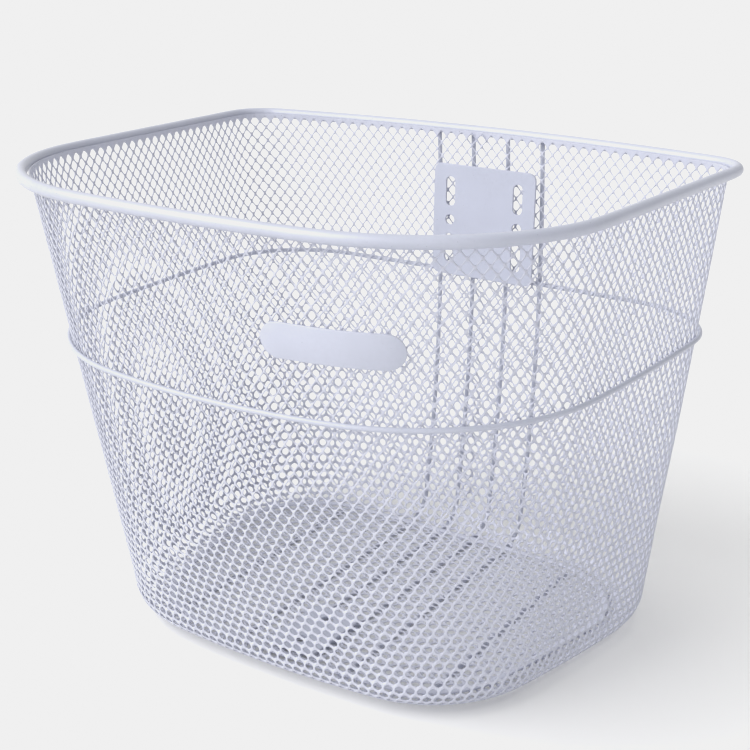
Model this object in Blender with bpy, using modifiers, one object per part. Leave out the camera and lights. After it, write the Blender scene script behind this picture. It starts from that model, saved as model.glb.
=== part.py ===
"""Handlebar basket: a bicycle basket of expanded-metal mesh under a round rim.

Metres, +Z up. The front of the basket faces -Y, its back (the bicycle's side) faces +Y,
and the origin is at the centre of the bounding box's underside.
The two mesh sheets are modelled as plain sheets with the mesh's outer shape, opened where
a bolt passes through them.
"""

import math

import bmesh
import bpy
import numpy as np

NAME = "handlebar_basket"
CUTTERS_NAME = "cutters"
FRAME_NAME = "basket_frame"
QUARTER_TURN = math.radians(90)

# Sheet and wire stock
SHEET = 0.0012
RIM_DIAMETER = 0.0065
WIRE_DIAMETER = 0.0028
WIRE_BEVEL_RESOLUTION = 2
GAP = 0.0003

# Heights of the three outlines that the wall runs through, measured on its mid surface
BASE_HEIGHT = WIRE_DIAMETER + GAP + SHEET / 2
RING_HEIGHT = BASE_HEIGHT + 0.172
RIM_HEIGHT = BASE_HEIGHT + 0.265

# Plan outlines of the wall, from the middle of the back round to the middle of the front.
# Each is a chain of arcs: the bowed back, a back corner, a side, a front corner, the bowed front.
# Runs and radii are metres, turns are degrees, and side_heading is the total turn where the side starts.
BASE_OUTLINE = {
    "back_y": 0.1352,
    "back_run": 0.079,
    "back_turn": 3.3,
    "back_radius": 0.076,
    "side_heading": 101.5,
    "side_run": 0.0805,
    "side_turn": 4.7,
    "front_radius": 0.070,
    "front_turn": 4.4,
}
RING_OUTLINE = {
    "back_y": 0.1487,
    "back_run": 0.1065,
    "back_turn": 2.9,
    "back_radius": 0.058,
    "side_heading": 90.3,
    "side_run": 0.1185,
    "side_turn": 5.1,
    "front_radius": 0.111,
    "front_turn": 10.3,
}
RIM_OUTLINE = {
    "back_y": 0.1432,
    "back_run": 0.1515,
    "back_turn": 11.5,
    "back_radius": 0.021,
    "side_heading": 92.1,
    "side_run": 0.1550,
    "side_turn": 0.7,
    "front_radius": 0.102,
    "front_turn": 5.6,
}
BACK_STEPS = 7
BACK_CORNER_STEPS = 8
SIDE_STEPS = 6
FRONT_CORNER_STEPS = 12
FRONT_STEPS = 4

# Wall and floor
BOTTOM_RADIUS = 0.017
FLANGE_WIDTH = 0.008
FLOOR_INSET = 0.020
WALL_ROWS = 7
BEND_ROWS = 5

# Upright stays behind the back wall, each one bent forward under the floor
STAY_X = (-0.0365, -0.0122, 0.0122, 0.0365)
STAY_ROWS = 7
STAY_BEND_POINTS = 7
STAY_FRONT_Y = -0.071

# Straight wires under the floor, outboard of the stays
FLOOR_WIRE_X = 0.0855
FLOOR_WIRE_Y = (-0.061, 0.112)

# Flat plates; the mesh behind a plate's bolt holes is open a little wider than they are
PLATE_CORNER_STEPS = 5
BOLT_CLEARANCE = 0.0005

# Bracket plate inside the back wall, with a slot, a hole and a slot down each side
BRACKET_SIZE = 0.072
BRACKET_CORNER = 0.005
BRACKET_THICKNESS = 0.0016
BRACKET_HEIGHT = BASE_HEIGHT + 0.2072
BRACKET_COLUMN_PITCH = 0.048
BRACKET_SLOT_WIDTH = 0.0065
BRACKET_SLOT_LENGTH = 0.019
BRACKET_SLOT_PITCH = 0.0185
BRACKET_CUT_DEPTH = 0.020
BRACKET_LEVELS = 4

# Base plate on the floor mesh, over the two middle stays
BASE_PLATE_WIDTH = 0.032
BASE_PLATE_LENGTH = 0.050
BASE_PLATE_CORNER = 0.004
BASE_PLATE_THICKNESS = 0.0016
BASE_PLATE_Y = -0.044
BASE_PLATE_HOLE = 0.0075
BASE_PLATE_HOLE_PITCH = 0.026

# Blank badge plate on the outside of the front wall
BADGE_X = 0.0735
BADGE_HEIGHT = BASE_HEIGHT + 0.212
BADGE_LENGTH = 0.070
BADGE_WIDTH = 0.018
BADGE_THICKNESS = 0.0010
BADGE_GAP = 0.0006
BADGE_STEPS = 10
BADGE_END_STEPS = 5
BADGE_END_SWEEP = 80

# Colours (linear), roughness, metallic
PAINT = ((0.62, 0.64, 0.75), 0.38, 0.0)
PLATE_PAINT = ((0.60, 0.62, 0.74), 0.34, 0.0)
MESH_PAINT = ((0.60, 0.62, 0.72), 0.42, 0.0)


def clear_scene():
    """Remove every object, so that the basket starts from nothing."""
    for item in list(bpy.data.objects):
        bpy.data.objects.remove(item, do_unlink=True)


def make_material(name, colour, roughness, metallic):
    """A Principled material with one colour."""
    material = bpy.data.materials.new(name)
    material.use_nodes = True
    shader = material.node_tree.nodes["Principled BSDF"]
    shader.inputs["Base Color"].default_value = (*colour, 1.0)
    shader.inputs["Roughness"].default_value = roughness
    shader.inputs["Metallic"].default_value = metallic
    material.diffuse_color = (*colour, 1.0)
    return material


# ---------------------------------------------------------------- outlines


def arc_points(start, heading, run, turn, steps):
    """Points along a clockwise arc from start; the last point and the new heading come too.

    heading is the clockwise turn from +X, so the direction is (cos, -sin).
    """
    radius = run / turn
    points = []
    for step in range(steps + 1):
        angle = heading + turn * step / steps
        x = start[0] + radius * (math.sin(angle) - math.sin(heading))
        y = start[1] + radius * (math.cos(angle) - math.cos(heading))
        points.append((x, y))
    return points[:-1], points[-1], heading + turn


def closed_outline(outline):
    """The whole plan outline: the arc chain down the +X half, then its mirror image."""
    back_turn = math.radians(outline["back_turn"])
    corner_turn = math.radians(outline["side_heading"]) - back_turn
    side_turn = math.radians(outline["side_turn"])
    front_turn = math.radians(outline["front_turn"])
    front_corner_turn = math.pi - front_turn - side_turn - corner_turn - back_turn
    chain = (
        (outline["back_run"], back_turn, BACK_STEPS),
        (outline["back_radius"] * corner_turn, corner_turn, BACK_CORNER_STEPS),
        (outline["side_run"], side_turn, SIDE_STEPS),
        (outline["front_radius"] * front_corner_turn, front_corner_turn, FRONT_CORNER_STEPS),
    )
    half = []
    point = (0.0, outline["back_y"])
    heading = 0.0
    for run, turn, steps in chain:
        points, point, heading = arc_points(point, heading, run, turn, steps)
        half += points
    # The front's own radius is the one that brings the chain square onto the middle plane.
    front_radius = point[0] / math.sin(front_turn)
    points, point, heading = arc_points(point, heading, front_radius * front_turn, front_turn, FRONT_STEPS)
    half += points + [(0.0, point[1])]
    mirrored = [(-x, y) for x, y in half[-2:0:-1]]
    return half + mirrored


def wall_outline(height):
    """The wall's plan outline at a height: the base, ring and rim outlines, blended smoothly."""
    heights = (BASE_HEIGHT, RING_HEIGHT, RIM_HEIGHT)
    loops = [closed_outline(outline) for outline in (BASE_OUTLINE, RING_OUTLINE, RIM_OUTLINE)]
    weights = []
    for own in heights:
        weight = 1.0
        for other in heights:
            if other != own:
                weight *= (height - other) / (own - other)
        weights.append(weight)
    blended = []
    for base, ring, rim in zip(*loops):
        x = weights[0] * base[0] + weights[1] * ring[0] + weights[2] * rim[0]
        y = weights[0] * base[1] + weights[1] * ring[1] + weights[2] * rim[1]
        blended.append((x, y))
    return blended


def offset_outline(points, distance):
    """Move every point of a clockwise outline outwards along its normal."""
    count = len(points)
    moved = []
    for index, (x, y) in enumerate(points):
        before = points[index - 1]
        after = points[(index + 1) % count]
        along_x = after[0] - before[0]
        along_y = after[1] - before[1]
        length = math.hypot(along_x, along_y)
        moved.append((x - along_y / length * distance, y + along_x / length * distance))
    return moved


def at_height(points, height):
    """Give plan points a height."""
    return [(x, y, height) for x, y in points]


def back_wall_y(x, height):
    """Where the back wall's mid surface crosses a plane of constant x."""
    loop = wall_outline(height)
    back = sorted(loop[: BACK_STEPS + 1] + loop[-BACK_STEPS:])
    for (x0, y0), (x1, y1) in zip(back, back[1:]):
        if x0 <= x <= x1:
            return y0 + (y1 - y0) * (x - x0) / (x1 - x0)
    raise ValueError("x is outside the back wall")


# ---------------------------------------------------------------- object builders


def place(item, material):
    """Link an object into the basket's collection, under its empty, with its material."""
    bpy.data.collections[NAME].objects.link(item)
    item.parent = bpy.data.objects[FRAME_NAME]
    item.data.materials.append(material)
    return item


def tube(name, points, diameter, material, closed=False):
    """A round wire or tube along a list of points."""
    curve = bpy.data.curves.new(name, "CURVE")
    curve.dimensions = "3D"
    curve.bevel_depth = diameter / 2
    curve.bevel_resolution = WIRE_BEVEL_RESOLUTION
    curve.use_fill_caps = True
    spline = curve.splines.new("POLY")
    spline.points.add(len(points) - 1)
    for target, point in zip(spline.points, points):
        target.co = (*point, 1.0)
    spline.use_cyclic_u = closed
    return place(bpy.data.objects.new(name, curve), material)


def rounded_outline(width, height, corner, middle=(0.0, 0.0)):
    """A rectangle round a middle point, with round corners."""
    points = []
    for quarter in range(4):
        side_x = middle[0] + (width / 2 - corner) * (1 if quarter in (0, 3) else -1)
        side_y = middle[1] + (height / 2 - corner) * (1 if quarter in (0, 1) else -1)
        for step in range(PLATE_CORNER_STEPS + 1):
            angle = QUARTER_TURN * (quarter + step / PLATE_CORNER_STEPS)
            points.append((side_x + corner * math.cos(angle), side_y + corner * math.sin(angle)))
    return points


def flat_plate(name, outlines, thickness, location, rotation, material):
    """A flat plate: the first outline is its edge and the others are holes through it."""
    curve = bpy.data.curves.new(name, "CURVE")
    curve.dimensions = "2D"
    curve.fill_mode = "BOTH"
    curve.extrude = thickness / 2
    for outline in outlines:
        spline = curve.splines.new("POLY")
        spline.points.add(len(outline) - 1)
        for target, (x, y) in zip(spline.points, outline):
            target.co = (x, y, 0.0, 1.0)
        spline.use_cyclic_u = True
        spline.use_smooth = False
    item = place(bpy.data.objects.new(name, curve), material)
    item.location = location
    item.rotation_euler = rotation
    return item


def sheet(name, rows, closed, thickness, material):
    """A sheet lofted through rows of points, thickened equally on both sides."""
    count = len(rows[0])
    vertices = [point for row in rows for point in row]
    columns = count if closed else count - 1
    faces = []
    for row in range(len(rows) - 1):
        for column in range(columns):
            after = (column + 1) % count
            low = row * count
            high = low + count
            faces.append((low + column, high + column, high + after, low + after))
    mesh = bpy.data.meshes.new(name)
    mesh.from_pydata(vertices, [], faces)
    mesh.validate()
    mesh.shade_smooth()
    item = place(bpy.data.objects.new(name, mesh), material)
    solid = item.modifiers.new("thickness", "SOLIDIFY")
    solid.thickness = thickness
    solid.offset = 0.0
    solid.use_even_offset = True
    return item


def cut(item, outlines, depth, location, rotation):
    """Cut prisms with these outlines out of an object, equally deep on both sides of a place."""
    shape = bmesh.new()
    for outline in outlines:
        face = shape.faces.new([shape.verts.new((x, y, -depth / 2)) for x, y in outline])
        raised = bmesh.ops.extrude_face_region(shape, geom=[face])["geom"]
        corners = [part for part in raised if isinstance(part, bmesh.types.BMVert)]
        bmesh.ops.translate(shape, verts=corners, vec=(0.0, 0.0, depth))
    bmesh.ops.recalc_face_normals(shape, faces=shape.faces)
    mesh = bpy.data.meshes.new(f"{item.name}_cutter")
    shape.to_mesh(mesh)
    shape.free()
    cutter = bpy.data.objects.new(mesh.name, mesh)
    bpy.data.collections[CUTTERS_NAME].objects.link(cutter)
    cutter.parent = bpy.data.objects[FRAME_NAME]
    cutter.location = location
    cutter.rotation_euler = rotation
    cutter.hide_render = True
    cutter.display_type = "WIRE"
    boolean = item.modifiers.new("bolt_openings", "BOOLEAN")
    boolean.operation = "DIFFERENCE"
    boolean.object = cutter


# ---------------------------------------------------------------- the basket's pieces


def bend_rows():
    """Rows of the wall's turned-in flange and rounded bottom edge, from inside outwards."""
    start = wall_outline(BASE_HEIGHT + BOTTOM_RADIUS)
    flange = offset_outline(start, -(BOTTOM_RADIUS + FLANGE_WIDTH))
    rows = [at_height(flange, BASE_HEIGHT)]
    for step in range(BEND_ROWS, 0, -1):
        angle = QUARTER_TURN * step / BEND_ROWS
        inset = BOTTOM_RADIUS * (1 - math.cos(angle))
        height = BASE_HEIGHT + BOTTOM_RADIUS * (1 - math.sin(angle))
        rows.append(at_height(offset_outline(start, -inset), height))
    return rows


def wall_mesh(material):
    """The side strip: turned in at the bottom, flaring up to the rim, open behind the bracket's slots."""
    rows = bend_rows()
    low = BASE_HEIGHT + BOTTOM_RADIUS
    for step in range(WALL_ROWS + 1):
        height = low + (RIM_HEIGHT - low) * step / WALL_ROWS
        rows.append(at_height(wall_outline(height), height))
    wall = sheet("wall_mesh", rows, True, SHEET, material)
    cut(wall, bracket_slots(BOLT_CLEARANCE), BRACKET_CUT_DEPTH, *bracket_placement())
    return wall


def floor_mesh(material):
    """The bottom sheet, lying on the wall's flange, open under the base plate's holes."""
    edge = offset_outline(wall_outline(BASE_HEIGHT + BOTTOM_RADIUS), -FLOOR_INSET)
    outlines = [edge] + base_plate_holes(BASE_PLATE_Y, BOLT_CLEARANCE)
    height = BASE_HEIGHT + SHEET + GAP
    return flat_plate("floor_mesh", outlines, SHEET, (0.0, 0.0, height), (0.0, 0.0, 0.0), material)


def rim_tube(material):
    """The top rim, round the outside of the wall's upper edge."""
    distance = SHEET / 2 + GAP + RIM_DIAMETER / 2
    path = at_height(offset_outline(wall_outline(RIM_HEIGHT), distance), RIM_HEIGHT)
    return tube("rim_tube", path, RIM_DIAMETER, material, closed=True)


def ring_wire(material):
    """The reinforcing ring round the outside of the wall."""
    path = at_height(offset_outline(wall_outline(RING_HEIGHT), wire_offset()), RING_HEIGHT)
    return tube("ring_wire", path, WIRE_DIAMETER, material, closed=True)


def wire_offset():
    """From the wall's mid surface to the middle of a wire lying on it."""
    return SHEET / 2 + GAP + WIRE_DIAMETER / 2


def back_stay(name, x, material):
    """An upright wire behind the ring, bent forward under the floor."""
    standoff = wire_offset() + WIRE_DIAMETER + GAP
    low = BASE_HEIGHT + BOTTOM_RADIUS
    top = RIM_HEIGHT - RIM_DIAMETER / 2 - GAP
    points = []
    for step in range(STAY_ROWS + 1):
        height = top + (low - top) * step / STAY_ROWS
        points.append((x, back_wall_y(x, height) + standoff, height))
    # Round the bend the wire closes in on the wall, to lie flat on the ground beneath it.
    centre_y = back_wall_y(x, low) - BOTTOM_RADIUS
    floor_reach = BOTTOM_RADIUS + BASE_HEIGHT - WIRE_DIAMETER / 2
    for step in range(1, STAY_BEND_POINTS + 1):
        angle = QUARTER_TURN * step / STAY_BEND_POINTS
        y = centre_y + (BOTTOM_RADIUS + standoff) * math.cos(angle)
        z = low - floor_reach * math.sin(angle)
        points.append((x, y, z))
    points.append((x, STAY_FRONT_Y, WIRE_DIAMETER / 2))
    return tube(name, points, WIRE_DIAMETER, material)


def floor_wire(name, x, material):
    """A straight wire under the floor, running front to back."""
    height = WIRE_DIAMETER / 2
    points = [(x, FLOOR_WIRE_Y[0], height), (x, FLOOR_WIRE_Y[1], height)]
    return tube(name, points, WIRE_DIAMETER, material)


def bracket_placement():
    """The bracket plate's middle and rotation: upright, just inside the back wall's nearest point."""
    low = BRACKET_HEIGHT - BRACKET_SIZE / 2
    heights = [low + BRACKET_SIZE * step / BRACKET_LEVELS for step in range(BRACKET_LEVELS + 1)]
    inner_wall = min(back_wall_y(BRACKET_SIZE / 2, height) for height in heights)
    y = inner_wall - SHEET / 2 - GAP - BRACKET_THICKNESS / 2
    return (0.0, y, BRACKET_HEIGHT), (QUARTER_TURN, 0.0, 0.0)


def bracket_slots(clearance):
    """Outlines of the bracket's two columns of slot, hole and slot, widened by a clearance."""
    width = BRACKET_SLOT_WIDTH + 2 * clearance
    length = BRACKET_SLOT_LENGTH + 2 * clearance
    outlines = []
    for x in (-BRACKET_COLUMN_PITCH / 2, BRACKET_COLUMN_PITCH / 2):
        outlines.append(rounded_outline(width, length, width / 2, (x, BRACKET_SLOT_PITCH)))
        outlines.append(rounded_outline(width, width, width / 2, (x, 0.0)))
        outlines.append(rounded_outline(width, length, width / 2, (x, -BRACKET_SLOT_PITCH)))
    return outlines


def bracket_plate(material):
    """The flat mounting plate inside the back wall."""
    edge = rounded_outline(BRACKET_SIZE, BRACKET_SIZE, BRACKET_CORNER)
    outlines = [edge] + bracket_slots(0.0)
    return flat_plate("bracket_plate", outlines, BRACKET_THICKNESS, *bracket_placement(), material)


def base_plate_holes(middle_y, clearance):
    """Outlines of the base plate's two bolt holes, widened by a clearance."""
    size = BASE_PLATE_HOLE + 2 * clearance
    return [
        rounded_outline(size, size, size / 2, (0.0, middle_y + side * BASE_PLATE_HOLE_PITCH / 2))
        for side in (-1, 1)
    ]


def base_plate(material):
    """The small plate on the floor mesh, with two bolt holes along its middle."""
    edge = rounded_outline(BASE_PLATE_WIDTH, BASE_PLATE_LENGTH, BASE_PLATE_CORNER)
    outlines = [edge] + base_plate_holes(0.0, 0.0)
    floor_top = BASE_HEIGHT + SHEET + GAP + SHEET / 2
    location = (0.0, BASE_PLATE_Y, floor_top + GAP + BASE_PLATE_THICKNESS / 2)
    return flat_plate("base_plate", outlines, BASE_PLATE_THICKNESS, location, (0.0, 0.0, 0.0), material)


def badge_stations():
    """The badge's outline as (distance along its middle line, half its width there)."""
    radius = BADGE_WIDTH / 2
    straight = BADGE_LENGTH / 2 - radius
    ends = []
    for step in range(1, BADGE_END_STEPS + 1):
        angle = math.radians(BADGE_END_SWEEP) * step / BADGE_END_STEPS
        ends.append((straight + radius * math.sin(angle), radius * math.cos(angle)))
    stations = [(-along, half_width) for along, half_width in reversed(ends)]
    for step in range(BADGE_STEPS + 1):
        stations.append((-straight + 2 * straight * step / BADGE_STEPS, radius))
    return stations + ends


def front_wall_point(along, height):
    """A point on the badge's mid surface, a distance along the front wall from the badge's middle."""
    distance = SHEET / 2 + BADGE_GAP + BADGE_THICKNESS / 2
    loop = offset_outline(wall_outline(height), distance)
    front_middle = len(loop) // 2
    path = loop[front_middle + FRONT_STEPS : front_middle - FRONT_STEPS - FRONT_CORNER_STEPS : -1]
    lengths = [0.0]
    for (x0, y0), (x1, y1) in zip(path, path[1:]):
        lengths.append(lengths[-1] + math.hypot(x1 - x0, y1 - y0))
    xs = [x for x, y in path]
    ys = [y for x, y in path]
    target = float(np.interp(BADGE_X, xs, lengths)) + along
    return float(np.interp(target, lengths, xs)), float(np.interp(target, lengths, ys)), height


def badge_plate(material):
    """The blank badge with fully round ends, bent to follow the front wall."""
    rows = []
    for side in (-1, 1):
        rows.append(
            [front_wall_point(along, BADGE_HEIGHT + side * half) for along, half in badge_stations()]
        )
    return sheet("badge_plate", rows, False, BADGE_THICKNESS, material)


def main():
    """Build the basket under one empty at the origin."""
    clear_scene()
    for name in (NAME, CUTTERS_NAME):
        bpy.context.scene.collection.children.link(bpy.data.collections.new(name))
    bpy.data.collections[NAME].objects.link(bpy.data.objects.new(FRAME_NAME, None))
    wall_mesh(make_material("wall_mesh_paint", *MESH_PAINT))
    floor_mesh(make_material("floor_mesh_paint", *MESH_PAINT))
    rim_tube(make_material("rim_tube_paint", *PAINT))
    ring_wire(make_material("ring_wire_paint", *PAINT))
    for number, x in enumerate(STAY_X, start=1):
        name = f"back_stay_{number}"
        back_stay(name, x, make_material(f"{name}_paint", *PAINT))
    for side, x in (("left", -FLOOR_WIRE_X), ("right", FLOOR_WIRE_X)):
        name = f"floor_wire_{side}"
        floor_wire(name, x, make_material(f"{name}_paint", *PAINT))
    bracket_plate(make_material("bracket_plate_paint", *PLATE_PAINT))
    base_plate(make_material("base_plate_paint", *PLATE_PAINT))
    badge_plate(make_material("badge_plate_paint", *PLATE_PAINT))


main()
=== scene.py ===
"""Handlebar basket: the looks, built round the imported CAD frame.

The plain wall and floor sheets of the frame are replaced by real expanded-metal mesh, and the tubes,
wires and badge by smooth ones. Every place is read from the frame. Lengths are metres.
"""

import math

import bmesh
import bpy
import numpy as np
from mathutils import Matrix, Vector
from mathutils.bvhtree import BVHTree


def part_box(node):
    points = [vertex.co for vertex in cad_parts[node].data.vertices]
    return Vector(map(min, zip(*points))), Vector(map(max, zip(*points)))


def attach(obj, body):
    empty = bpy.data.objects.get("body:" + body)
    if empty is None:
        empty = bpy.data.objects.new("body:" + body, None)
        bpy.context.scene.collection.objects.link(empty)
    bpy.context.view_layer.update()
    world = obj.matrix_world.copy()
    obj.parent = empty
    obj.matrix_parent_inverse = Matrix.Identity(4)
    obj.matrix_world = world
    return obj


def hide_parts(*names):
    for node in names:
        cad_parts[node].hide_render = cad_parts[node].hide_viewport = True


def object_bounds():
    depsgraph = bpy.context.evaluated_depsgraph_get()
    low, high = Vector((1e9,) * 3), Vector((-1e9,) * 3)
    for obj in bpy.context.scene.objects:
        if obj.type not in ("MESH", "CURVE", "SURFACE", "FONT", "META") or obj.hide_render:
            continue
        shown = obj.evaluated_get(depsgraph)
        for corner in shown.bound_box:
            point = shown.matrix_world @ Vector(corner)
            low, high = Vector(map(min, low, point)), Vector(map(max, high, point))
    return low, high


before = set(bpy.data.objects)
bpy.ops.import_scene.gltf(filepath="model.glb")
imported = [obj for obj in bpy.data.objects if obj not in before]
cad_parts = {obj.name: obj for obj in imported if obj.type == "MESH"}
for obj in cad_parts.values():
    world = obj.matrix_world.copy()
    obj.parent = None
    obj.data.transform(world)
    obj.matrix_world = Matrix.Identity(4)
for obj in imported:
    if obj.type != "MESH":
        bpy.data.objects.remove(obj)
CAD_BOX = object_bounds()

BODY = "root"
QUARTER = math.pi / 2
UPWARD = (0.0, 0.0, 1.0)
ACROSS = (1.0, 0.0, 0.0)
WHITE = (1.0, 1.0, 1.0, 1.0)

# A distance too small to matter, and the digits that places and heights are compared to
HAIR = 0.00001
PLACE_DIGITS = 5
HEIGHT_DIGITS = 4

# Expanded mesh: thickness, how far a strand's edges are twisted out of the sheet, how far they are
# rounded back, and how far out they stay, as a share of half the thickness
MESH_THICKNESS = 0.0008
STRAND_TWIST = 0.00010
EDGE_ROUNDING = 0.00020
EDGE_FALL = 0.86

# For square and for slender cells: half a strand's width, and an opening's corner radius as a share of
# the widest circle that fits
CELL_SLENDERNESS = (1.4, 1.8)
STRAND_HALF = (0.00036, 0.00033)
OPENING_ROUNDNESS = (0.46, 0.90)

# How far from a cell's corners its border has its other points, as a share of its side
CORNER_POINT = 0.3

# Wall lattice: columns round the wall, a cell's height at the rim, its growth per metre further down,
# the solid margin over the first openings, and the number of pieces that the wall is split into
WALL_COLUMNS = 154
RIM_CELL = 0.0084
CELL_GROWTH = 0.0118
TOP_MARGIN = 0.0007
WALL_PARTS = 7

# Wall shape: the bend at its foot, the flange under the floor, and the step that its slope is measured over
BEND_RADIUS = 0.017
FLANGE_WIDTH = 0.0085
SLOPE_STEP = 0.0005

# Floor lattice, whose long openings lie across the basket, the plain band round its edge, and how much
# of their depth the cells keep that are squeezed under the band
FLOOR_CELL_X = 0.0119
FLOOR_CELL_Y = 0.0060
FLOOR_BAND = 0.0042
FLOOR_SQUEEZE = 0.06

# The lap where the wall strip's ends meet: its place on the back wall, which lies between two shares of
# a turn, its half width in half cells, and how far it stands off the wall and keeps clear of the bracket
BACK_TURNS = (-0.25, 0.25)
LAP_MIDDLE_X = -0.0080
LAP_HALF_COLUMNS = 1
LAP_STANDOFF = 0.0015
LAP_CLEARANCE = 0.007

# Tubes and wires: points round them and between two points of their paths, the depth that the ring sinks
# into the mesh it is welded to, the shortest run that counts as straight, the spacing of the points along
# one, and the rounding of a wire's ends as a share of its radius
TUBE_SIDES = 32
WIRE_SIDES = 20
PATH_STEPS = 5
WELD_DEPTH = 0.0005
STRAIGHT_RUN = 0.060
RUN_SPACING = 0.005
END_ROUNDING = 0.25

# Plates: their rounded edges, the points along the badge's round ends and straight sides, the shares of
# a turn that the right half of the front wall lies between, and where a ray towards the badge starts
PLATE_EDGE = 0.00035
PLATE_EDGE_SEGMENTS = 3
BADGE_ARC_STEPS = 12
BADGE_RUN_STEPS = 16
FRONT_TURNS = (0.25, 0.5)
RAY_START = 0.05

# Angles above which an edge is shaded sharp
TUBE_SHARP = math.radians(65)
MESH_SHARP = math.radians(75)
PLATE_SHARP = math.radians(50)

# Each paint's linear colour, roughness, strength of orange peel and reach of its specks
PAINTS = {
    "mesh_paint": ((0.55, 0.565, 0.66), 0.42, 0.35, 0.27),
    "rim_paint": ((0.50, 0.52, 0.615), 0.34, 0.25, 0.25),
    "wire_paint": ((0.50, 0.52, 0.615), 0.38, 0.25, 0.25),
    "plate_paint": ((0.47, 0.49, 0.585), 0.36, 0.30, 0.24),
    "badge_paint": ((0.51, 0.53, 0.63), 0.36, 0.30, 0.24),
}
SPECK = (0.16, 0.16, 0.19)
STAGE_COLOUR = (0.80, 0.80, 0.80)

# Noise patterns, each with its scale per metre and its detail, and the spans that two of them are cut to
CLOUD_NOISE = (35.0, 3.0)
GRAIN_NOISE = (420.0, 4.0)
PEEL_NOISE = (700.0, 2.0)
SPECK_NOISE = (1300.0, 2.0)
PAPER_NOISE = (3.0, 2.0)
CLOUD_SPAN = (0.35, 0.65)
GRAIN_SPAN = (0.3, 0.7)

# How far the tones, the gloss and the specks' edges vary, the clear coat, and the depth of the orange peel
CLOUD_TONES = (0.955, 1.035)
PAPER_TONES = (0.998, 1.002)
GLOSS_SPREAD = 0.05
SPECK_SOFTNESS = 0.02
COAT_WEIGHT = 0.25
COAT_ROUGHNESS = 0.22
PEEL_DEPTH = 0.00008

# Camera: its place round the CAD box's middle, how far right of and above that it aims, its lens in
# millimetres, and its shift in picture widths
CAMERA_AZIMUTH = math.radians(32.4)
CAMERA_ELEVATION = math.radians(18.79)
CAMERA_ROLL = math.radians(0.76)
CAMERA_DISTANCE = 0.7946
CAMERA_AIM = (0.0121, 0.0143)
CAMERA_LENS = 66.8
CAMERA_SHIFT = (-0.0063, -0.0028)

# The white surround's strength on its left, on its right and at the horizon, and the height, as the sine
# of an elevation, where the horizon's paleness has faded
WORLD_BRIGHT_SIDE = 1.14
WORLD_DARK_SIDE = 0.34
HORIZON_STRENGTH = 1.02
HORIZON_RISE = 0.16

# Each lamp's strength, apparent width, azimuth and elevation
LAMPS = {
    "softbox": (2.8, math.radians(60), math.radians(-36), math.radians(38)),
    "front_fill": (0.8, math.radians(80), math.radians(25), math.radians(8)),
}

# The paper's size, the faint glow that keeps its shadows pale, and the level that it comes out at
STAGE_SIZE = 60.0
STAGE_GLOW = 0.06
WHITE_LEVEL = 0.87


# ---------------------------------------------------------------- reading the frame


def node_points(name):
    """A CAD node's vertices, one row each."""
    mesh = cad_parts[name].data
    points = np.zeros(len(mesh.vertices) * 3)
    mesh.vertices.foreach_get("co", points)
    return points.reshape(-1, 3)


def node_surface(name):
    """A CAD node's faces, for casting rays at."""
    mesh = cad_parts[name].data
    faces = [tuple(polygon.vertices) for polygon in mesh.polygons]
    return BVHTree.FromPolygons([tuple(vertex.co) for vertex in mesh.vertices], faces)


def smooth_path(points, closed):
    """A smooth curve through points: cubic steps whose slopes follow the spacing of the points."""
    if closed:
        padded = np.vstack([points[-1:], points, points[:2]])
    else:
        padded = np.vstack([2 * points[:1] - points[1:2], points, 2 * points[-1:] - points[-2:-1]])
    gaps = np.diff(padded, axis=0)
    lengths = np.linalg.norm(gaps, axis=1, keepdims=True)
    slopes = gaps / lengths
    tangents = lengths[1:] * slopes[:-1] + lengths[:-1] * slopes[1:]
    tangents /= lengths[1:] + lengths[:-1]
    knots = padded[1:-1]
    step = (np.arange(PATH_STEPS) / PATH_STEPS)[None, :, None]
    reach = lengths[1:-1][:, None, :]
    start, end = knots[:-1][:, None, :], knots[1:][:, None, :]
    leave, arrive = tangents[:-1][:, None, :] * reach, tangents[1:][:, None, :] * reach
    curve = (
        start * (2 * step**3 - 3 * step**2 + 1)
        + leave * (step**3 - 2 * step**2 + step)
        + end * (3 * step**2 - 2 * step**3)
        + arrive * (step**3 - step**2)
    ).reshape(-1, points.shape[1])
    return curve if closed else np.vstack([curve, knots[-1:]])


def fill_straight_runs(points):
    """Put points along each long straight stretch, so that a curve through them stays straight there."""
    filled = [points[:1]]
    for start, end in zip(points, points[1:]):
        length = np.linalg.norm(end - start)
        steps = max(1, round(length / RUN_SPACING)) if length > STRAIGHT_RUN else 1
        shares = np.arange(1, steps + 1)[:, None] / steps
        filled.append(start + (end - start) * shares)
    return np.vstack(filled)


def level_path(name, depth=0.0):
    """The middle line of a level closed tube, from the crown of each of its rings of vertices.

    depth moves it inwards, towards the wall.
    """
    points = node_points(name)
    low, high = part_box(name)
    middle = (low + high) / 2
    crown = points[points[:, 2] > high.z - HAIR]
    plan = np.unique(np.round(crown[:, :2], PLACE_DIGITS), axis=0)
    angle = np.arctan2(plan[:, 0] - middle.x, plan[:, 1] - middle.y)
    loop = smooth_path(plan[np.argsort(angle)], True)
    along = np.roll(loop, -1, axis=0) - np.roll(loop, 1, axis=0)
    along /= np.linalg.norm(along, axis=1, keepdims=True)
    loop += np.column_stack([along[:, 1], -along[:, 0]]) * depth
    return np.column_stack([loop, np.full(len(loop), middle.z)])


def upright_path(name):
    """The middle line of a wire that lies in a plane of constant X, from its top or back to its front."""
    points = node_points(name)
    low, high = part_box(name)
    flank = points[points[:, 0] > high.x - HAIR]
    places = np.unique(np.round(flank[:, 1:], PLACE_DIGITS), axis=0)
    order = np.lexsort((-places[:, 0], -np.round(places[:, 1], HEIGHT_DIGITS)))
    line = smooth_path(fill_straight_runs(places[order]), False)
    return np.column_stack([np.full(len(line), (low.x + high.x) / 2), line])


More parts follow.
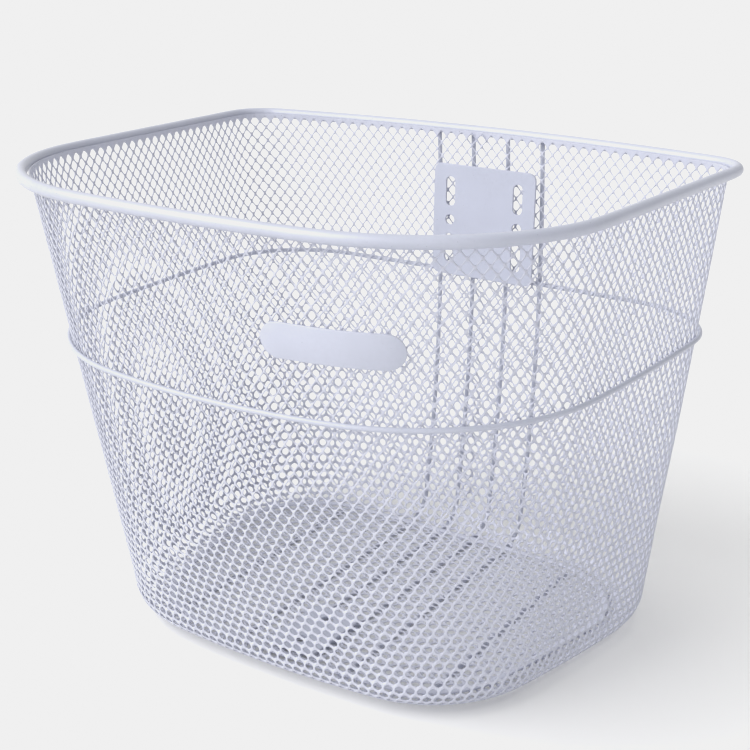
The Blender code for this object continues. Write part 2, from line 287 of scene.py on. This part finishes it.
class Wall:
    """The wall's middle surface, read from the CAD wall at a few heights and blended between them."""

    SAMPLES = 1440
    SOFTENING = np.exp(-0.5 * (np.arange(-12, 13) / 5.0) ** 2)

    def __init__(self):
        low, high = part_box("wall_mesh")
        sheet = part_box("floor_mesh")[1].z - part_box("floor_mesh")[0].z
        self.surface = node_surface("wall_mesh")
        self.axis_y = (low.y + high.y) / 2
        self.top = high.z
        self.bend_top = low.z + sheet / 2 + BEND_RADIUS
        ring_height = (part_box("ring_wire")[0].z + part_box("ring_wire")[1].z) / 2
        above_bracket = (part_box("bracket_plate")[1].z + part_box("rim_tube")[0].z) / 2
        low_middle = (self.bend_top + ring_height) / 2
        self.heights = (self.bend_top, low_middle, ring_height, above_bracket, self.top - sheet)
        self.loops = [self.measure(height) for height in self.heights]
        self.height = self.top - self.bend_top
        self.length = self.height + BEND_RADIUS * QUARTER + FLANGE_WIDTH

    def measure(self, height):
        """The wall's middle line at a height, as plan points equally spaced from the back's middle."""
        middle = Vector((0.0, self.axis_y, height))
        places = []
        for step in range(self.SAMPLES):
            angle = 2 * math.pi * step / self.SAMPLES
            outward = Vector((math.sin(angle), math.cos(angle), 0.0))
            inner = self.surface.ray_cast(middle, outward)[0]
            outer = self.surface.ray_cast(middle + outward, -outward)[0]
            places.append(((inner + outer) / 2)[:2])
        places = self.soften(np.array(places))
        closed = np.vstack([places, places[:1]])
        along = np.concatenate([[0.0], np.cumsum(np.linalg.norm(np.diff(closed, axis=0), axis=1))])
        even = np.linspace(0.0, along[-1], self.SAMPLES + 1)[:-1]
        return np.column_stack([np.interp(even, along, closed[:, axis]) for axis in (0, 1)])

    def soften(self, places):
        """Take the CAD's flat facets out of a measured loop."""
        weights = self.SOFTENING / self.SOFTENING.sum()
        reach = len(weights) // 2
        return sum(np.roll(places, shift - reach, axis=0) * weight for shift, weight in enumerate(weights))

    def plan(self, turn, height):
        """Plan points at shares of a full turn from the back's middle, at these heights.

        A polynomial in the height runs through the measured loops.
        """
        at = np.mod(turn, 1.0) * self.SAMPLES
        total = np.zeros((len(at), 2))
        for own, loop in zip(self.heights, self.loops):
            weight = np.ones(len(at))
            for other in self.heights:
                if other != own:
                    weight *= (height - other) / (own - other)
            for axis in (0, 1):
                closed = np.append(loop[:, axis], loop[0, axis])
                total[:, axis] += weight * np.interp(at, np.arange(self.SAMPLES + 1), closed)
        return total

    def point(self, turn, down):
        """Points at a turn and a distance down from the top edge, round the bend and over the flange."""
        over = np.clip(down - self.height, 0.0, None)
        height = np.maximum(self.top - down, self.bend_top)
        plan = self.plan(turn, height)
        step = 1 / self.SAMPLES
        along = self.plan(turn + step, height) - self.plan(turn - step, height)
        along /= np.linalg.norm(along, axis=1, keepdims=True)
        inward = np.column_stack([along[:, 1], -along[:, 0]])
        angle = np.clip(over / BEND_RADIUS, 0.0, QUARTER)
        flat = np.clip(over - BEND_RADIUS * QUARTER, 0.0, None)
        inset = BEND_RADIUS * (1 - np.cos(angle)) + flat
        return np.column_stack([plan + inward * inset[:, None], height - BEND_RADIUS * np.sin(angle)])

    def place(self, turn, down, standoff=0.0):
        """Points at a standoff from the middle surface, and the outward normals there."""
        turn_step = 1 / self.SAMPLES
        across = self.point(turn + turn_step, down) - self.point(turn - turn_step, down)
        along = self.point(turn, down + SLOPE_STEP) - self.point(turn, down - SLOPE_STEP)
        normal = np.cross(across, along)
        normal /= np.linalg.norm(normal, axis=1, keepdims=True)
        return self.point(turn, down) + normal * standoff, normal

    def turn_at(self, x, height, start, end):
        """The share of a turn, between two others, where the wall passes an X."""
        turns = np.linspace(start, end, 4 * self.SAMPLES)
        plan = self.plan(turns, np.full(len(turns), height))
        return float(turns[np.argmin(np.abs(plan[:, 0] - x))])


# ---------------------------------------------------------------- pieces


def make_mesh(name, points, quads, triangles, sharp_angle):
    """A smooth mesh object from arrays, without the points that no face uses."""
    corners = np.concatenate([np.ravel(quads), np.ravel(triangles)]).astype(np.int64)
    sizes = np.concatenate([np.full(len(quads), 4), np.full(len(triangles), 3)])
    used, corners = np.unique(corners, return_inverse=True)
    mesh = bpy.data.meshes.new(name)
    mesh.vertices.add(len(used))
    mesh.vertices.foreach_set("co", points[used].astype(np.float32).ravel())
    mesh.loops.add(len(corners))
    mesh.loops.foreach_set("vertex_index", corners.astype(np.int32))
    starts = np.concatenate([[0], np.cumsum(sizes)[:-1]])
    mesh.polygons.add(len(sizes))
    mesh.polygons.foreach_set("loop_start", starts.astype(np.int32))
    mesh.update(calc_edges=True)
    mesh.validate()
    mesh.shade_smooth()
    mesh.set_sharp_from_angle(angle=sharp_angle)
    item = bpy.data.objects.new(name, mesh)
    bpy.context.scene.collection.objects.link(item)
    return item


def finish_piece(item, material, node):
    """Give a piece its material, in its first slot, and its body, and hide the CAD node that it stands for.
    """
    item.data.materials.append(material)
    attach(item, BODY)
    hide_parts(node)


def band_faces(rows, sides, closed):
    """Quads between rows of points that go round, from the first row to the last (and back to the first)."""
    row, side = (grid.ravel() for grid in np.meshgrid(np.arange(rows), np.arange(sides), indexing="ij"))
    if not closed:
        keep = row < rows - 1
        row, side = row[keep], side[keep]
    next_row = (row + 1) % rows
    next_side = (side + 1) % sides
    corners = [row * sides + side, next_row * sides + side]
    corners += [next_row * sides + next_side, row * sides + next_side]
    return np.column_stack(corners)


def sweep(name, path, radius, sides, closed, fixed):
    """A round tube along a path that lies in the plane across the fixed direction."""
    if closed:
        tangent = np.roll(path, -1, axis=0) - np.roll(path, 1, axis=0)
    else:
        tangent = np.gradient(path, axis=0)
    tangent /= np.linalg.norm(tangent, axis=1, keepdims=True)
    scale = np.ones(len(path))
    if not closed:
        rounding = radius * END_ROUNDING
        ends = (path[:1] + tangent[:1] * rounding, path[-1:] - tangent[-1:] * rounding)
        path = np.vstack([path[:1], ends[0], path[1:-1], ends[1], path[-1:]])
        tangent = np.vstack([tangent[:1], tangent, tangent[-1:]])
        scale = np.concatenate([[1 - END_ROUNDING], scale, [1 - END_ROUNDING]])
    side = np.cross(tangent, fixed)
    angle = np.linspace(0.0, 2 * math.pi, sides, endpoint=False)[None, :, None]
    around = np.cos(angle) * side[:, None, :] + np.sin(angle) * np.array(fixed)
    points = (path[:, None, :] + around * (radius * scale)[:, None, None]).reshape(-1, 3)
    quads = band_faces(len(path), sides, closed)
    triangles = np.zeros((0, 3), dtype=int)
    if not closed:
        first = len(points)
        here = np.arange(sides)
        after = (here + 1) % sides
        last_ring = (len(path) - 1) * sides
        start = np.column_stack([np.full(sides, first), here, after])
        end = np.column_stack([np.full(sides, first + 1), last_ring + after, last_ring + here])
        triangles = np.vstack([start, end])
        points = np.vstack([points, path[:1], path[-1:]])
    return make_mesh(name, points, quads, triangles, TUBE_SHARP)


# ---------------------------------------------------------------- expanded mesh


def opening_shape(half_x, half_y):
    """Points round each cell's opening: a rhombus with round corners, three points to a corner.

    They run from the cell's +X corner towards its +Y corner, with a row of points for each cell.
    """
    side = np.hypot(half_x, half_y)
    slenderness = np.maximum(half_x, half_y) / np.minimum(half_x, half_y)
    strand_half = np.interp(slenderness, CELL_SLENDERNESS, STRAND_HALF)
    widest = half_x * half_y / side - strand_half
    radius = widest * np.interp(slenderness, CELL_SLENDERNESS, OPENING_ROUNDNESS)
    share = 1 - (strand_half + radius) * side / (half_x * half_y)
    side_normal = np.arctan2(half_x, half_y)
    shape = []
    for corner in range(4):
        toward_x = round(math.cos(QUARTER * corner))
        toward_y = round(math.sin(QUARTER * corner))
        spread = side_normal if corner % 2 == 0 else QUARTER - side_normal
        for step in (-1, 0, 1):
            angle = QUARTER * corner + spread * step
            x = toward_x * half_x * share + radius * np.cos(angle)
            y = toward_y * half_y * share + radius * np.sin(angle)
            shape.append(np.stack([x, y], axis=-1))
    return np.stack(shape, axis=1)


def border_shape():
    """Points round a cell's border, in half cells and in step with opening_shape."""
    corners = np.array([(1.0, 0.0), (0.0, 1.0), (-1.0, 0.0), (0.0, -1.0)])
    shape = []
    for index, corner in enumerate(corners):
        shape.append(corner + (corners[index - 1] - corner) * CORNER_POINT)
        shape.append(corner)
        shape.append(corner + (corners[(index + 1) % 4] - corner) * CORNER_POINT)
    return np.array(shape)


def lattice(name, columns, rows, place, half_size, twist_axis, hem=None):
    """Expanded mesh over the cells at these columns and rows, both counted in half cells.

    place(columns, rows) gives points and normals and half_size(columns, rows) the half cell in metres.
    Strands are twisted along the twist axis. hem is the (row of cells, row of its straight edge) that a
    solid margin fills.
    """
    ring = border_shape()
    count = len(ring)
    following = np.roll(np.arange(count), -1)
    border = np.stack([columns[:, None] + ring[:, 0], rows[:, None] + ring[:, 1]], axis=-1)
    # Neighbouring cells share their border points, which fall on whole tenths of a half cell.
    tenths = np.round(border.reshape(-1, 2) * 10).astype(np.int64)
    _, first, border_index = np.unique(tenths, axis=0, return_index=True, return_inverse=True)
    border_index = border_index.reshape(-1, count)
    sheet = border.reshape(-1, 2)[first]
    edges = [np.stack([border_index, border_index[:, following]], axis=-1).reshape(-1, 2)]
    hem_quads = np.zeros((0, 4), dtype=int)
    if hem:
        cells = np.flatnonzero(rows == hem[0])
        # These border points run from the cell's -X corner over its upper corner to its +X corner.
        upper = np.arange(7, 13) % count
        start = border_index[cells][:, upper].ravel()
        end = border_index[cells][:, following[upper]].ravel()
        margin, margin_index = np.unique(np.stack([start, end]), return_inverse=True)
        margin_index = margin_index.reshape(2, -1) + len(sheet)
        sheet = np.vstack([sheet, np.column_stack([sheet[margin, 0], np.full(len(margin), hem[1])])])
        hem_quads = np.stack([end, start, margin_index[0], margin_index[1]], axis=-1)
        edges += [hem_quads[:, [side, (side + 1) % 4]] for side in range(4)]

    half = MESH_THICKNESS / 2
    points, normals = place(sheet[:, 0], sheet[:, 1])
    total = len(points)
    blocks = [points + normals * half, points - normals * half]
    half_x, half_y = half_size(columns, rows)
    shape = opening_shape(half_x, half_y)
    reach = np.linalg.norm(shape, axis=-1, keepdims=True)
    twist = STRAND_TWIST * shape[..., twist_axis] / (half_x, half_y)[twist_axis][:, None]
    layers = [border_index]
    for level in (1, 0, -1):
        spot = shape * (1 + EDGE_ROUNDING * abs(level) / reach)
        at_column = columns[:, None] + spot[..., 0] / half_x[:, None]
        at_row = rows[:, None] + spot[..., 1] / half_y[:, None]
        points, normals = place(at_column.ravel(), at_row.ravel())
        lift = twist.ravel() + half * EDGE_FALL * level
        layers.append(sum(len(block) for block in blocks) + np.arange(len(points)).reshape(-1, count))
        blocks.append(points + normals * lift[:, None])
    layers.append(border_index + total)

    quads = [hem_quads, hem_quads[:, ::-1] + total]
    for outer, inner in zip(layers, layers[1:]):
        corners = [outer, outer[:, following], inner[:, following], inner]
        quads.append(np.stack(corners, axis=-1).reshape(-1, 4))
    # An edge of the sheet that only one face has is closed from front to back.
    edges = np.vstack(edges)
    pair = np.sort(edges, axis=1)
    _, where, times = np.unique(pair[:, 0] * total + pair[:, 1], return_index=True, return_counts=True)
    start, end = edges[where[times == 1]].T
    quads.append(np.stack([end, start, start + total, end + total], axis=-1))
    return make_mesh(name, np.vstack(blocks), np.vstack(quads), np.zeros((0, 3)), MESH_SHARP)


class WallLattice:
    """Where the wall's cells lie: columns round the wall, rows that grow taller away from the rim."""

    def __init__(self, wall, turn_shift=0.0, standoff=0.0):
        self.wall = wall
        self.turn_shift = turn_shift
        self.standoff = standoff

    def down(self, row):
        """Distance below the top edge of a row, counted in half cells from the first openings' tops."""
        return TOP_MARGIN + RIM_CELL / CELL_GROWTH * (np.exp(CELL_GROWTH * row / 2) - 1)

    def row_at(self, down):
        """The row at a distance below the top edge."""
        return 2 / CELL_GROWTH * math.log(1 + (down - TOP_MARGIN) * CELL_GROWTH / RIM_CELL)

    def place(self, columns, rows):
        """Points and normals at columns and rows."""
        turn = self.turn_shift + columns / (2 * WALL_COLUMNS)
        return self.wall.place(turn, self.down(rows), self.standoff)

    def half_size(self, columns, rows):
        """Half a cell's width and height, in metres."""
        turn = self.turn_shift + columns / (2 * WALL_COLUMNS)
        step = 0.25 / WALL_COLUMNS
        down = self.down(rows)
        width = self.wall.point(turn + step, down) - self.wall.point(turn - step, down)
        return np.linalg.norm(width, axis=1), self.down(rows + 0.5) - self.down(rows - 0.5)

    def cells(self, first_column, last_column, low_down, high_down):
        """Columns and rows of the cells between two columns whose whole height is between two distances."""
        first_row = math.ceil(self.row_at(low_down)) + 1
        last_row = math.floor(self.row_at(high_down)) - 1
        column, row = np.meshgrid(
            np.arange(first_column, last_column), np.arange(first_row, last_row + 1), indexing="ij"
        )
        keep = (column + row) % 2 == 0
        return column[keep].astype(float), row[keep].astype(float)


def build_wall(wall, material):
    """The wall's mesh, in parts side by side, each with its share of the solid top margin."""
    grid = WallLattice(wall)
    edge_row = grid.row_at(0.0)
    for part in range(WALL_PARTS):
        start = 2 * (WALL_COLUMNS * part // WALL_PARTS)
        end = 2 * (WALL_COLUMNS * (part + 1) // WALL_PARTS)
        columns, rows = grid.cells(start, end, TOP_MARGIN, wall.length)
        name = f"wall_mesh_part_{part + 1}"
        item = lattice(name, columns, rows, grid.place, grid.half_size, 0, (rows.min(), edge_row))
        finish_piece(item, material, "wall_mesh")


def build_lap(wall, material):
    """The narrow lap inside the back wall where the strip's ends meet, broken behind the bracket plate."""
    low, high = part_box("bracket_plate")
    turn = wall.turn_at(LAP_MIDDLE_X, (low.z + high.z) / 2, *BACK_TURNS)
    quarter_cell = 0.25 / WALL_COLUMNS
    grid = WallLattice(wall, turn + quarter_cell, -LAP_STANDOFF)
    above = wall.top - high.z - LAP_CLEARANCE
    below = wall.top - low.z + LAP_CLEARANCE
    for name, start, end in (("upper", TOP_MARGIN, above), ("lower", below, wall.height)):
        columns, rows = grid.cells(-LAP_HALF_COLUMNS, LAP_HALF_COLUMNS + 1, start, end)
        item = lattice(f"wall_lap_{name}", columns, rows, grid.place, grid.half_size, 0)
        finish_piece(item, material, "wall_mesh")


class FloorLattice:
    """Where the floor's cells lie. Past the middle of the edge band they are squeezed up against it."""

    def __init__(self):
        low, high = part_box("floor_mesh")
        self.middle = (low + high) / 2
        points = node_points("floor_mesh")
        crown = points[points[:, 2] > high.z - HAIR][:, :2]
        plate_low, plate_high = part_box("base_plate")
        in_plate = np.all((crown > plate_low.xy) & (crown < plate_high.xy), axis=1)
        reach = crown[~in_plate] - self.middle.xy
        radius = np.linalg.norm(reach, axis=1)
        angle = np.arctan2(reach[:, 1], reach[:, 0])
        spots = np.unique(np.round(np.column_stack([angle, radius]), PLACE_DIGITS), axis=0)
        outline = spots[:, 1:] * np.column_stack([np.cos(spots[:, 0]), np.sin(spots[:, 0])])
        outline = smooth_path(outline, True)
        self.outline = outline * (1 - FLOOR_BAND / 2 / np.linalg.norm(outline, axis=1, keepdims=True))
        self.angles = np.arctan2(self.outline[:, 1], self.outline[:, 0])
        self.radii = np.linalg.norm(self.outline, axis=1)
        order = np.argsort(self.angles)
        self.angles, self.radii = self.angles[order], self.radii[order]

    def edge_radius(self, angle):
        """How far the band's middle line is from the floor's middle."""
        return np.interp(angle, self.angles, self.radii, period=2 * math.pi)

    def spread(self, columns, rows):
        """Plan places, relative to the floor's middle, before any squeezing."""
        return columns * FLOOR_CELL_X / 2, rows * FLOOR_CELL_Y / 2

    def place(self, columns, rows):
        """Points and normals at columns and rows."""
        x, y = self.spread(columns, rows)
        radius = np.hypot(x, y)
        angle = np.arctan2(y, x)
        limit = self.edge_radius(angle)
        radius = np.where(radius > limit, limit + (radius - limit) * FLOOR_SQUEEZE, radius)
        x = self.middle.x + radius * np.cos(angle)
        y = self.middle.y + radius * np.sin(angle)
        points = np.column_stack([x, y, np.full(len(x), self.middle.z)])
        return points, np.tile(UPWARD, (len(x), 1))

    def half_size(self, columns, rows):
        """Half a cell's size across and along the basket."""
        size = np.ones(len(columns))
        return size * FLOOR_CELL_X / 2, size * FLOOR_CELL_Y / 2

    def cells(self):
        """Columns and rows of the cells that reach inside the edge band."""
        across = int(self.radii.max() / FLOOR_CELL_X * 2) + 2
        along = int(self.radii.max() / FLOOR_CELL_Y * 2) + 2
        column, row = np.meshgrid(
            np.arange(-across, across + 1), np.arange(-along, along + 1), indexing="ij"
        )
        keep = (column + row) % 2 == 0
        column, row = column[keep].astype(float), row[keep].astype(float)
        inside = np.zeros(len(column), dtype=bool)
        for toward_x, toward_y in ((1, 0), (0, 1), (-1, 0), (0, -1)):
            x, y = self.spread(column + toward_x, row + toward_y)
            inside |= np.hypot(x, y) < self.edge_radius(np.arctan2(y, x)) - FLOOR_BAND / 2
        return column[inside], row[inside]


def build_floor(material):
    """The floor's mesh and the flat band that edges it."""
    grid = FloorLattice()
    columns, rows = grid.cells()
    item = lattice("floor_mesh_openings", columns, rows, grid.place, grid.half_size, 1)
    finish_piece(item, material, "floor_mesh")
    low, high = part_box("floor_mesh")
    band = flat_band("floor_edge_band", grid.outline, grid.middle, FLOOR_BAND, high.z - low.z)
    finish_piece(band, material, "floor_mesh")


def flat_band(name, outline, middle, width, thickness):
    """A flat strip along a closed plan outline, with its edges rounded."""
    outward = outline / np.linalg.norm(outline, axis=1, keepdims=True)
    rounding = thickness / 4
    profile = []
    for quarter in range(4):
        toward_x = 1 if quarter in (0, 3) else -1
        toward_z = 1 if quarter in (0, 1) else -1
        for step in (0.0, 0.5, 1.0):
            angle = QUARTER * (quarter + step)
            x = toward_x * (width / 2 - rounding) + rounding * math.cos(angle)
            z = toward_z * (thickness / 2 - rounding) + rounding * math.sin(angle)
            profile.append((x, z))
    profile = np.array(profile)
    plan = outline[:, None, :] + outward[:, None, :] * profile[None, :, :1]
    height = np.broadcast_to(profile[None, :, 1], plan.shape[:2])
    points = np.concatenate([plan, height[..., None]], axis=-1) + np.array(middle)
    quads = band_faces(len(outline), len(profile), True)[:, ::-1]
    return make_mesh(name, points.reshape(-1, 3), quads, np.zeros((0, 3)), MESH_SHARP)


# ---------------------------------------------------------------- tubes, wires and plates


def build_tubes(rim_material, wire_material):
    """The rim, the ring, the four stays and the two floor wires, as smooth round tubes."""
    for name, depth, sides, material, slot in (
        ("rim_tube", 0.0, TUBE_SIDES, rim_material, "rim_paint"),
        ("ring_wire", WELD_DEPTH, WIRE_SIDES, wire_material, "wire_paint"),
    ):
        low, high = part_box(name)
        item = sweep(f"{name}_round", level_path(name, depth), (high.z - low.z) / 2, sides, True, UPWARD)
        finish_piece(item, material, name)
    for name in sorted(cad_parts):
        if name.startswith(("back_stay", "floor_wire")):
            low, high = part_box(name)
            radius = (high.x - low.x) / 2
            item = sweep(f"{name}_round", upright_path(name), radius, WIRE_SIDES, False, ACROSS)
            finish_piece(item, wire_material, name)


def stadium(half_run, radius):
    """Points round a straight slot's outline, the same number whatever its radius."""
    points = []
    for side in (1, -1):
        for step in range(BADGE_ARC_STEPS):
            angle = -QUARTER * side + math.pi * step / BADGE_ARC_STEPS
            points.append((side * half_run + radius * math.cos(angle), radius * math.sin(angle)))
        for step in range(BADGE_RUN_STEPS):
            share = 1 - 2 * step / BADGE_RUN_STEPS
            points.append((side * half_run * share, side * radius))
    return np.array(points)


def build_badge(wall, material):
    """The badge: a thin plate with round ends and soft edges that follows the front wall's bow."""
    low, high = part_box("badge_plate")
    height = (low.z + high.z) / 2
    ends = [wall.turn_at(x, height, *FRONT_TURNS) for x in (low.x, high.x)]
    turn = sum(ends) / 2
    here = np.array([turn])
    near = np.array([wall.top - height])
    half_length = math.dist((low.x, low.y), (high.x, high.y)) / 2
    metres_per_turn = 2 * half_length / (ends[0] - ends[1])
    radius = (high.z - low.z) / 2
    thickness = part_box("floor_mesh")[1].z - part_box("floor_mesh")[0].z
    half = thickness / 2
    edge = PLATE_EDGE
    soft = edge * (1 - math.cos(QUARTER / 2))
    profile = ((0.0, half), (radius - edge, half), (radius - soft, half - soft), (radius, half - edge))
    profile += tuple((reach, -lift) for reach, lift in reversed(profile))
    rings = [stadium(half_length - radius, reach) for reach, lift in profile]
    surface = node_surface("badge_plate")
    middle_point, normal = wall.place(here, near)
    start = Vector(middle_point[0] + normal[0] * RAY_START)
    outer = surface.ray_cast(start, -Vector(normal[0]))[3]
    standoff = RAY_START - outer - half
    blocks = []
    for ring, (reach, lift) in zip(rings, profile):
        turns = turn - ring[:, 0] / metres_per_turn
        points, normals = wall.place(turns, near - ring[:, 1])
        blocks.append(points + normals * (standoff + lift))
    points = np.vstack(blocks)
    quads = band_faces(len(profile), len(rings[0]), False)
    item = make_mesh("badge_plate_soft", points, quads, np.zeros((0, 3)), PLATE_SHARP)
    shape = bmesh.new()
    shape.from_mesh(item.data)
    bmesh.ops.remove_doubles(shape, verts=shape.verts, dist=HAIR / 10)
    bmesh.ops.recalc_face_normals(shape, faces=shape.faces)
    shape.to_mesh(item.data)
    shape.free()
    finish_piece(item, material, "badge_plate")


def soften_plate(name, material):
    """Round a CAD plate's edges and paint it."""
    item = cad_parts[name]
    weld = item.modifiers.new("weld", "WELD")
    weld.merge_threshold = HAIR
    bevel = item.modifiers.new("edges", "BEVEL")
    bevel.width = PLATE_EDGE
    bevel.segments = PLATE_EDGE_SEGMENTS
    bevel.limit_method = "ANGLE"
    bevel.angle_limit = PLATE_SHARP
    item.data.shade_smooth()
    item.modifiers.new("smooth_by_angle", "WEIGHTED_NORMAL").keep_sharp = True
    item.data.materials.clear()
    item.data.materials.append(material)


# ---------------------------------------------------------------- materials


def value_span(nodes, links, source, low, high, to_low, to_high):
    """A value stretched from one span to another, and kept inside it."""
    span = nodes.new("ShaderNodeMapRange")
    span.inputs["From Min"].default_value = low
    span.inputs["From Max"].default_value = high
    span.inputs["To Min"].default_value = to_low
    span.inputs["To Max"].default_value = to_high
    links.new(source, span.inputs["Value"])
    return span.outputs["Result"]


def noise(nodes, links, place, scale, detail):
    """A noise pattern over the object's own metres."""
    pattern = nodes.new("ShaderNodeTexNoise")
    pattern.inputs["Scale"].default_value = scale
    pattern.inputs["Detail"].default_value = detail
    links.new(place, pattern.inputs["Vector"])
    return pattern.outputs["Fac"]


def mix_colours(nodes, links, share, first, second):
    """A blend of two colours, each a socket or a plain colour."""
    mix = nodes.new("ShaderNodeMix")
    mix.data_type = "RGBA"
    links.new(share, mix.inputs["Factor"])
    for socket, colour in ((mix.inputs[6], first), (mix.inputs[7], second)):
        if isinstance(colour, tuple):
            socket.default_value = (*colour, 1.0)
        else:
            links.new(colour, socket)
    return mix.outputs[2]


def scaled(colour, factor):
    """A colour made lighter or darker."""
    return tuple(min(1.0, channel * factor) for channel in colour)


def painted_metal(name, colour, roughness, peel, speck_reach):
    """Satin sprayed paint: faint clouds of tone, an orange-peel skin and a few dark specks."""
    material = bpy.data.materials.new(name)
    material.use_nodes = True
    nodes, links = material.node_tree.nodes, material.node_tree.links
    shader = nodes["Principled BSDF"]
    place = nodes.new("ShaderNodeTexCoord").outputs["Object"]
    cloud = noise(nodes, links, place, *CLOUD_NOISE)
    cloud = value_span(nodes, links, cloud, *CLOUD_SPAN, 0.0, 1.0)
    grain = noise(nodes, links, place, *GRAIN_NOISE)
    grain = value_span(nodes, links, grain, *GRAIN_SPAN, 0.0, 1.0)
    dark, light = (scaled(colour, factor) for factor in CLOUD_TONES)
    tone = mix_colours(nodes, links, cloud, dark, light)
    tone = mix_colours(nodes, links, grain, tone, colour)
    speck = noise(nodes, links, place, *SPECK_NOISE)
    threshold = 1.0 - speck_reach
    speck = value_span(nodes, links, speck, threshold, threshold + SPECK_SOFTNESS, 0.0, 1.0)
    tone = mix_colours(nodes, links, speck, tone, SPECK)
    links.new(tone, shader.inputs["Base Color"])
    gloss = value_span(nodes, links, grain, 0.0, 1.0, roughness - GLOSS_SPREAD, roughness + GLOSS_SPREAD)
    links.new(gloss, shader.inputs["Roughness"])
    shader.inputs["Metallic"].default_value = 0.0
    shader.inputs["Coat Weight"].default_value = COAT_WEIGHT
    shader.inputs["Coat Roughness"].default_value = COAT_ROUGHNESS
    bump = nodes.new("ShaderNodeBump")
    bump.inputs["Strength"].default_value = peel
    bump.inputs["Distance"].default_value = PEEL_DEPTH
    links.new(noise(nodes, links, place, *PEEL_NOISE), bump.inputs["Height"])
    links.new(bump.outputs["Normal"], shader.inputs["Normal"])
    return material


def stage_material():
    """Matt white paper with a faint glow of its own, painted light that keeps its shadows pale."""
    material = bpy.data.materials.new("paper_with_glow")
    material.use_nodes = True
    nodes, links = material.node_tree.nodes, material.node_tree.links
    shader = nodes["Principled BSDF"]
    place = nodes.new("ShaderNodeTexCoord").outputs["Object"]
    cloud = noise(nodes, links, place, *PAPER_NOISE)
    dark, light = (scaled(STAGE_COLOUR, factor) for factor in PAPER_TONES)
    links.new(mix_colours(nodes, links, cloud, dark, light), shader.inputs["Base Color"])
    shader.inputs["Roughness"].default_value = 1.0
    shader.inputs["Specular IOR Level"].default_value = 0.0
    # Painted light: the paper glows faintly, which lifts the shadows cast on it
    shader.inputs["Emission Color"].default_value = WHITE
    shader.inputs["Emission Strength"].default_value = STAGE_GLOW
    return material


# ---------------------------------------------------------------- studio


def build_stage():
    """A wide level floor under the basket."""
    bpy.ops.mesh.primitive_plane_add(size=STAGE_SIZE, location=(0.0, 0.0, 0.0))
    plane = bpy.context.object
    plane.name = "studio_floor"
    plane.data.materials.append(stage_material())


def direction(azimuth, elevation):
    """The unit vector towards an azimuth, turning from -Y to +X, and an elevation."""
    level = math.cos(elevation)
    return Vector((math.sin(azimuth) * level, -math.cos(azimuth) * level, math.sin(elevation)))


def build_lights():
    """A white surround, pale at the horizon and darker to the right, and two broad soft lamps."""
    scene = bpy.context.scene
    world = bpy.data.worlds.new("studio")
    world.use_nodes = True
    nodes, links = world.node_tree.nodes, world.node_tree.links
    backdrop = nodes["Background"]
    backdrop.inputs["Color"].default_value = WHITE
    axes = nodes.new("ShaderNodeSeparateXYZ")
    links.new(nodes.new("ShaderNodeTexCoord").outputs["Generated"], axes.inputs["Vector"])
    side = value_span(nodes, links, axes.outputs["X"], -1.0, 1.0, WORLD_BRIGHT_SIDE, WORLD_DARK_SIDE)
    glow = value_span(nodes, links, axes.outputs["Z"], 0.0, HORIZON_RISE, HORIZON_STRENGTH, 1.0)
    links.new(side, glow.node.inputs["To Max"])
    links.new(glow, backdrop.inputs["Strength"])
    scene.world = world
    for name, (strength, width, azimuth, elevation) in LAMPS.items():
        sun = bpy.data.lights.new(name, "SUN")
        sun.energy = strength
        sun.angle = width
        lamp = bpy.data.objects.new(name, sun)
        lamp.rotation_euler = direction(azimuth, elevation).to_track_quat("Z", "Y").to_euler()
        scene.collection.objects.link(lamp)
    # Like a bright studio picture, everything as light as the paper or lighter comes out as its pale white.
    scene.view_settings.view_transform = "Standard"
    scene.view_settings.use_curve_mapping = True
    curve = scene.view_settings.curve_mapping
    curve.extend = "HORIZONTAL"
    all_channels = curve.curves[3]
    all_channels.points[1].location = (1.0, WHITE_LEVEL)
    curve.update()


def build_camera():
    """The camera, aimed a little above and right of the middle of the CAD box."""
    backward = direction(CAMERA_AZIMUTH, CAMERA_ELEVATION)
    level_right = Vector((math.cos(CAMERA_AZIMUTH), math.sin(CAMERA_AZIMUTH), 0.0))
    upward = backward.cross(level_right)
    aim = (CAD_BOX[0] + CAD_BOX[1]) / 2 + level_right * CAMERA_AIM[0] + upward * CAMERA_AIM[1]
    right = level_right * math.cos(CAMERA_ROLL) + upward * math.sin(CAMERA_ROLL)
    up = backward.cross(right)
    lens = bpy.data.cameras.new("camera")
    lens.lens = CAMERA_LENS
    lens.shift_x, lens.shift_y = CAMERA_SHIFT
    lens.clip_end = STAGE_SIZE
    camera = bpy.data.objects.new("camera", lens)
    turn = Matrix((right, up, backward)).transposed()
    camera.matrix_world = Matrix.Translation(aim + backward * CAMERA_DISTANCE) @ turn.to_4x4()
    bpy.context.scene.collection.objects.link(camera)
    bpy.context.scene.camera = camera


def main():
    """Build the basket's pieces, then the studio."""
    wall = Wall()
    paints = {name: painted_metal(name, *finish) for name, finish in PAINTS.items()}
    build_wall(wall, paints["mesh_paint"])
    build_lap(wall, paints["mesh_paint"])
    build_floor(paints["mesh_paint"])
    build_tubes(paints["rim_paint"], paints["wire_paint"])
    build_badge(wall, paints["badge_paint"])
    soften_plate("bracket_plate", paints["plate_paint"])
    soften_plate("base_plate", paints["plate_paint"])
    build_stage()
    build_lights()
    build_camera()


main()
